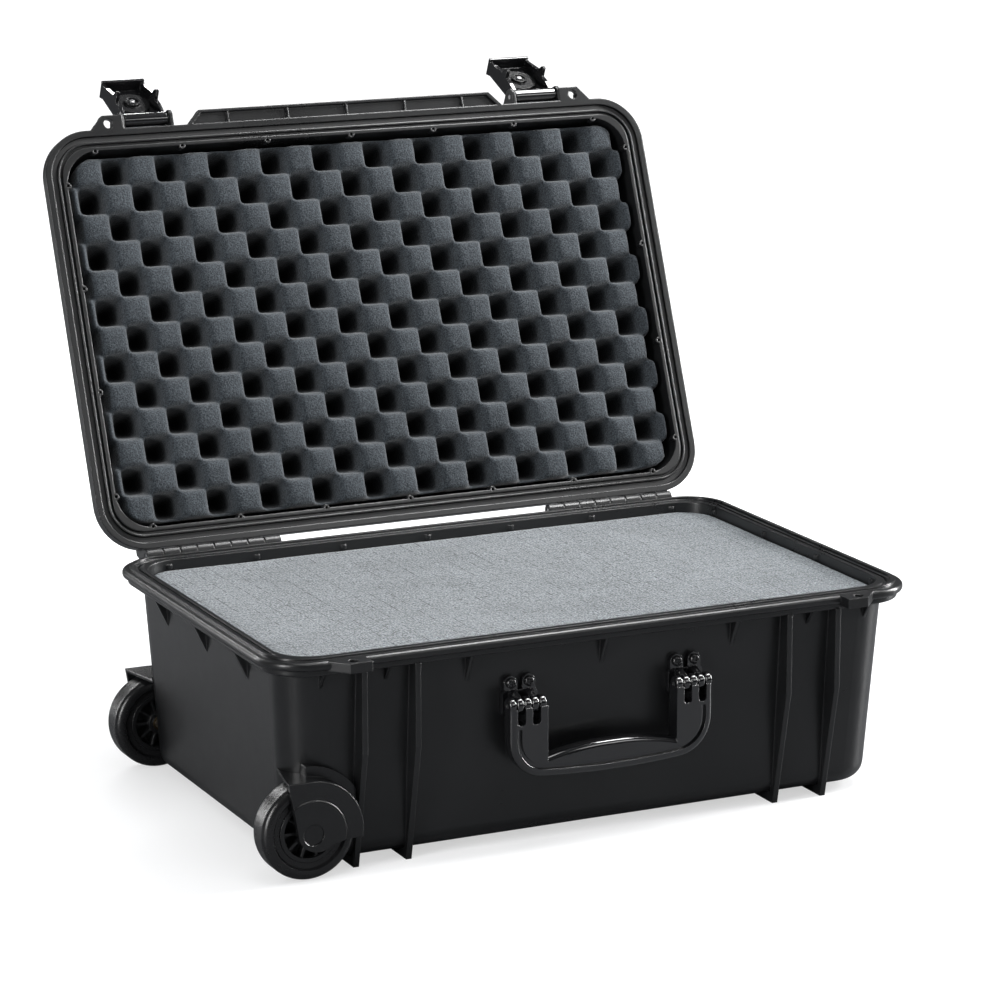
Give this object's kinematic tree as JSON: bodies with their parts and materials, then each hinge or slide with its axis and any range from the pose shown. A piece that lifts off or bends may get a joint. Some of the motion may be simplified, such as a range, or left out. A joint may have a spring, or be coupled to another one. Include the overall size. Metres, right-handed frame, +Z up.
{
  "type": "hard equipment case",
  "caption": "Wheeled hard equipment case with hinged lid, flip latches, fold-down carry handles, sliding pull handle and foam lining, shown open.",
  "frame": {"origin": "middle of the base's footprint on the ground, on the foot of the channel cover", "axes": "+Z up, +X towards the end where the pull handle slides out, -Y the front with the latches"},
  "size_m": [0.5718, 0.5782, 0.539],
  "materials": {
    "shell_black": "moulded satin",
    "gloss_black": "gloss",
    "part_black": "satin",
    "tyre": "satin rubber",
    "seal": "matt",
    "foam_grey": "open-cell foam",
    "foam_dark": "open-cell foam",
    "label": "satin",
    "bush": "plain",
    "steel": "zinc plated",
    "black_steel": "gloss black"
  },
  "bodies": {
    "base": {"base_shell": "shell_black", "channel_cover": "part_black", "cover_screws": "steel", "base_foam": "foam_grey", "base_pad": "foam_grey", "valve_body": "part_black", "valve_seal": "seal", "hinge_pins": "steel", "wheel_housing_front": "part_black", "wheel_housing_rear": "part_black", "housing_screws_front": "steel", "housing_screws_rear": "steel", "axle_front": "steel", "axle_rear": "steel", "axle_clip_front": "steel", "axle_clip_rear": "steel", "front_brackets": "gloss_black", "front_bracket_screws": "black_steel", "front_handle_pins": "steel", "end_brackets": "gloss_black", "end_bracket_screws": "black_steel", "end_handle_pins": "steel"},
    "lid": {"lid_shell": "shell_black", "lid_gasket": "seal", "lid_foam": "foam_dark", "lid_label": "label", "latch_pin_left": "steel", "latch_pin_right": "steel"},
    "latch_left": {"latch_left": "gloss_black"},
    "latch_right": {"latch_right": "gloss_black"},
    "knob_left": {"latch_knob_left": "part_black", "knob_rivet_left": "steel"},
    "knob_right": {"latch_knob_right": "part_black", "knob_rivet_right": "steel"},
    "front_handle": {"front_handle": "gloss_black"},
    "end_handle": {"end_handle": "gloss_black"},
    "pull_handle": {"pull_handle": "gloss_black", "trigger_springs": "steel", "blade_bumpers": "seal"},
    "trigger": {"handle_trigger": "gloss_black"},
    "wheel_front": {"wheel_hub_front": "part_black", "tyre_front": "tyre", "wheel_bush_front": "bush"},
    "wheel_rear": {"wheel_hub_rear": "part_black", "tyre_rear": "tyre", "wheel_bush_rear": "bush"}
  },
  "joints": [
    {"name": "lid_hinge", "type": "hinge", "parent": "base", "child": "lid", "pos_m": [0, 0.184, 0.171], "axis": [1, 0, 0], "range_deg": [0, 112]},
    {"name": "latch_left", "type": "hinge", "parent": "lid", "child": "latch_left", "pos_m": [-0.183, 0.33095, 0.51069], "axis": [1, 0, 0], "range_deg": [0, 135]},
    {"name": "knob_left", "type": "hinge", "parent": "latch_left", "child": "knob_left", "pos_m": [-0.183, 0.36105, 0.51912], "axis": [0, 0.3907, -0.9205], "range_deg": [0, 90]},
    {"name": "latch_right", "type": "hinge", "parent": "lid", "child": "latch_right", "pos_m": [0.183, 0.33095, 0.51069], "axis": [1, 0, 0], "range_deg": [0, 135]},
    {"name": "knob_right", "type": "hinge", "parent": "latch_right", "child": "knob_right", "pos_m": [0.183, 0.36105, 0.51912], "axis": [0, 0.3907, -0.9205], "range_deg": [0, 90]},
    {"name": "front_handle", "type": "hinge", "parent": "base", "child": "front_handle", "pos_m": [0, -0.17627, 0.118], "axis": [-1, 0, 0], "range_deg": [0, 90]},
    {"name": "end_handle", "type": "hinge", "parent": "base", "child": "end_handle", "pos_m": [0.27777, 0, 0.118], "axis": [0, -1, 0], "range_deg": [0, 90]},
    {"name": "pull_slide", "type": "slide", "parent": "base", "child": "pull_handle", "axis": [1, 0, 0], "range_m": [0, 0.33]},
    {"name": "trigger_press", "type": "slide", "parent": "pull_handle", "child": "trigger", "axis": [1, 0, 0], "range_m": [0, 0.004], "stiffness_N_per_m": 400},
    {"name": "wheel_front", "type": "hinge", "parent": "base", "child": "wheel_front", "pos_m": [-0.249, -0.1585, 0.0385], "axis": [0, 1, 0], "continuous": true},
    {"name": "wheel_rear", "type": "hinge", "parent": "base", "child": "wheel_rear", "pos_m": [-0.249, 0.1585, 0.0385], "axis": [0, 1, 0], "continuous": true}
  ]
}
